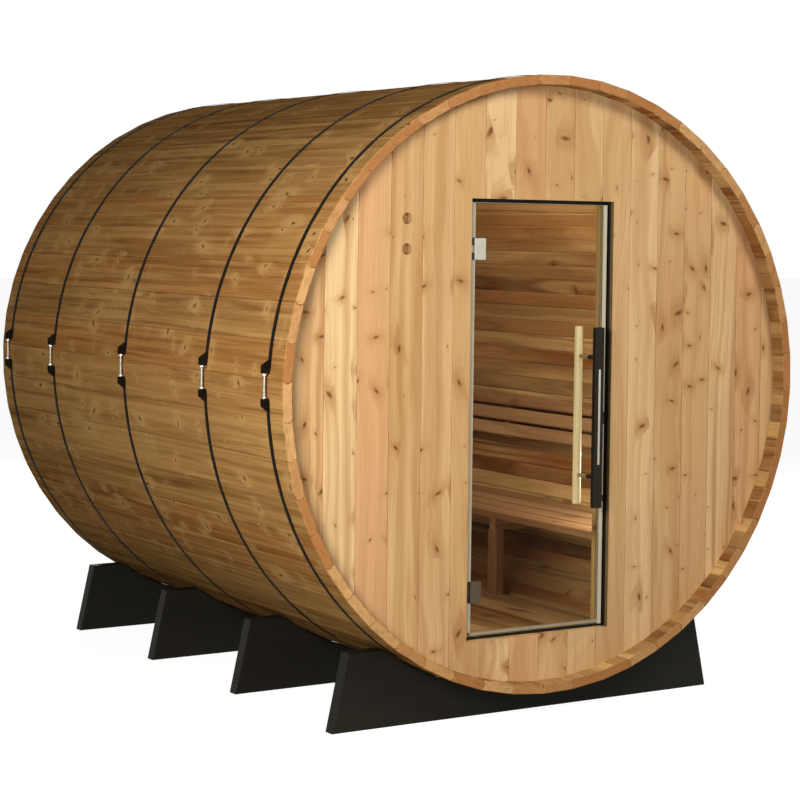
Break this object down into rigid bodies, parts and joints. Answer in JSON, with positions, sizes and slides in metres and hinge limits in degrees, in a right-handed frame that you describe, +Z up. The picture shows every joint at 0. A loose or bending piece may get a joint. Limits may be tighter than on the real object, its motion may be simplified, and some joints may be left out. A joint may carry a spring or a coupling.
{
  "type": "barrel sauna",
  "caption": "Round cedar barrel sauna on four black cradles, with steel bands, a hinged glass door in its boarded front and a slatted bench inside.",
  "frame": {"origin": "on the ground, under the middle of the barrel", "axes": "+X to the right seen from the front, the front and its door face -Y, +Z up"},
  "size_m": [2.1794, 2.438, 2.2146],
  "materials": {
    "stave_cedar": "weathered knotty cedar staves, oiled",
    "wall_cedar": "planed knotty cedar boards, bare",
    "inside_cedar": "planed clear cedar, bare",
    "cradle_black": "black stained plank",
    "band_steel": "dark coated steel strap",
    "bright_steel": "satin steel",
    "door_glass": "clear tempered glass",
    "clear_seal": "milky clear vinyl strip",
    "handle_wood": "round pale wooden bar",
    "handle_dark": "dark satin bar"
  },
  "bodies": {
    "cabin": {"staves_01": "stave_cedar", "staves_02": "stave_cedar", "staves_03": "stave_cedar", "staves_04": "stave_cedar", "staves_05": "stave_cedar", "staves_06": "stave_cedar", "staves_07": "stave_cedar", "staves_08": "stave_cedar", "staves_09": "stave_cedar", "staves_10": "stave_cedar", "staves_11": "stave_cedar", "staves_12": "stave_cedar", "staves_13": "stave_cedar", "front_wall_left": "wall_cedar", "vent_board": "wall_cedar", "front_wall_right": "wall_cedar", "front_wall_over_door": "wall_cedar", "front_wall_sill": "wall_cedar", "rear_wall": "wall_cedar", "door_casing": "inside_cedar", "hinge_leaves": "bright_steel", "band_1": "band_steel", "band_2": "band_steel", "band_3": "band_steel", "band_4": "band_steel", "band_5": "band_steel", "tensioner_1": "bright_steel", "tensioner_2": "bright_steel", "tensioner_3": "bright_steel", "tensioner_4": "bright_steel", "tensioner_5": "bright_steel", "cradle_1": "cradle_black", "cradle_2": "cradle_black", "cradle_3": "cradle_black", "cradle_4": "cradle_black", "floor_bearers": "inside_cedar", "floor_boards": "inside_cedar", "bench_slats": "inside_cedar", "bench_frame": "inside_cedar", "backrest": "inside_cedar"},
    "door": {"door_glass": "door_glass", "door_clamps": "bright_steel", "door_seal": "clear_seal", "handle_inside": "handle_wood", "handle_outside": "handle_dark"}
  },
  "joints": [
    {"name": "door_hinge", "type": "hinge", "parent": "cabin", "child": "door", "pos_m": [-0.303, -1.134, 1.027], "axis": [0, 0, -1], "range_deg": [0, 90]}
  ]
}
